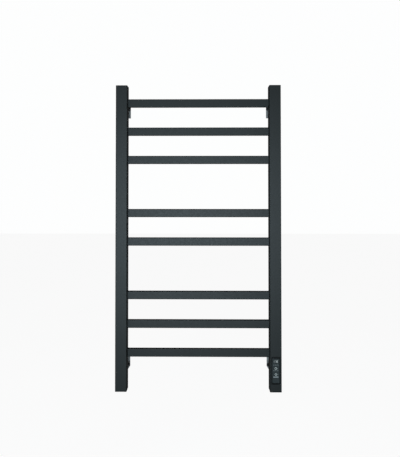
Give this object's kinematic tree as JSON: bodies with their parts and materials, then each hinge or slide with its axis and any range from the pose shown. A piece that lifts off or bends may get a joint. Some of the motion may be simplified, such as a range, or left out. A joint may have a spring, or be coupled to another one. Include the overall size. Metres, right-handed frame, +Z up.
{
  "type": "towel warmer rack",
  "caption": "Wall-hung ladder towel warmer: box-section posts, flat cross rungs in groups, wall brackets and a push-button control unit in the foot of the right post.",
  "frame": {"origin": "centre of the four wall plates, on the wall plane", "axes": "+X to the right seen from the room, +Y into the wall, +Z up; the front faces -Y"},
  "size_m": [0.502, 0.08, 0.927],
  "materials": {
    "powder_coat": "fine-textured satin-matt powder coat, cool black",
    "bracket_grey": "satin mid-grey paint on steel",
    "black_plastic": "fine-sparked moulded plastic",
    "panel_gloss": "smooth dark grey polycarbonate",
    "button_plastic": "satin moulded plastic with printed icon",
    "smoked_lens": "smoked clear polycarbonate",
    "light_diffuser": "translucent diffusing acrylic",
    "display_grey": "grey digit block",
    "led_white": "white surface-mount lights",
    "soft_rubber": "black silicone",
    "switch_plastic": "black moulded plastic",
    "plunger_nylon": "white nylon",
    "board_laminate": "green solder mask on glass laminate",
    "relay_blue": "blue moulded case",
    "component_grey": "dark grey moulded case",
    "terminal_green": "green polyamide",
    "zinc_steel": "zinc-plated steel",
    "black_steel": "black oxide steel",
    "tinned_brass": "tinned brass",
    "cable_silicone": "grey silicone-sheathed heating cable",
    "earth_green_yellow": "green and yellow insulation"
  },
  "bodies": {
    "frame": {"bar_light_guide": "light_diffuser", "cable_grommet": "soft_rubber", "circuit_board": "board_laminate", "control_bezel": "black_plastic", "control_housing": "black_plastic", "control_panel": "panel_gloss", "display_lens": "smoked_lens", "display_module": "display_grey", "earth_lead": "earth_green_yellow", "earth_nut": "zinc_steel", "earth_screw": "zinc_steel", "earth_tag": "tinned_brass", "gland_body": "black_plastic", "gland_nut": "black_plastic", "gland_seal": "soft_rubber", "heating_cable": "cable_silicone", "housing_screws": "zinc_steel", "indicator_guides": "light_diffuser", "indicator_leds": "led_white", "left_bottom_cap": "black_plastic", "left_post": "powder_coat", "left_top_cap": "black_plastic", "lock_screws": "black_steel", "panel_gasket": "soft_rubber", "post_socket_lower_left": "powder_coat", "post_socket_lower_right": "powder_coat", "post_socket_upper_left": "powder_coat", "post_socket_upper_right": "powder_coat", "power_supply": "component_grey", "power_switch": "switch_plastic", "relay": "relay_blue", "right_bottom_cap": "black_plastic", "right_post": "powder_coat", "right_top_cap": "black_plastic", "rung_1": "powder_coat", "rung_2": "powder_coat", "rung_3": "powder_coat", "rung_4": "powder_coat", "rung_5": "powder_coat", "rung_6": "powder_coat", "rung_7": "powder_coat", "rung_8": "powder_coat", "standoff_bar_lower_left": "bracket_grey", "standoff_bar_lower_right": "bracket_grey", "standoff_bar_upper_left": "bracket_grey", "standoff_bar_upper_right": "bracket_grey", "standoff_screws": "zinc_steel", "terminal_block": "terminal_green", "terminal_screws": "zinc_steel", "thermal_cutout": "component_grey", "timer_switch": "switch_plastic", "wall_plate_lower_left": "bracket_grey", "wall_plate_lower_right": "bracket_grey", "wall_plate_upper_left": "bracket_grey", "wall_plate_upper_right": "bracket_grey"},
    "timer_push": {"timer_button": "button_plastic", "timer_plunger": "plunger_nylon"},
    "power_push": {"power_button": "button_plastic", "power_plunger": "plunger_nylon"}
  },
  "joints": [
    {"name": "timer_press", "type": "slide", "parent": "frame", "child": "timer_push", "axis": [0, 1, 0], "range_m": [0, 0.0008], "stiffness_N_per_m": 1500},
    {"name": "power_press", "type": "slide", "parent": "frame", "child": "power_push", "axis": [0, 1, 0], "range_m": [0, 0.0008], "stiffness_N_per_m": 1500}
  ]
}
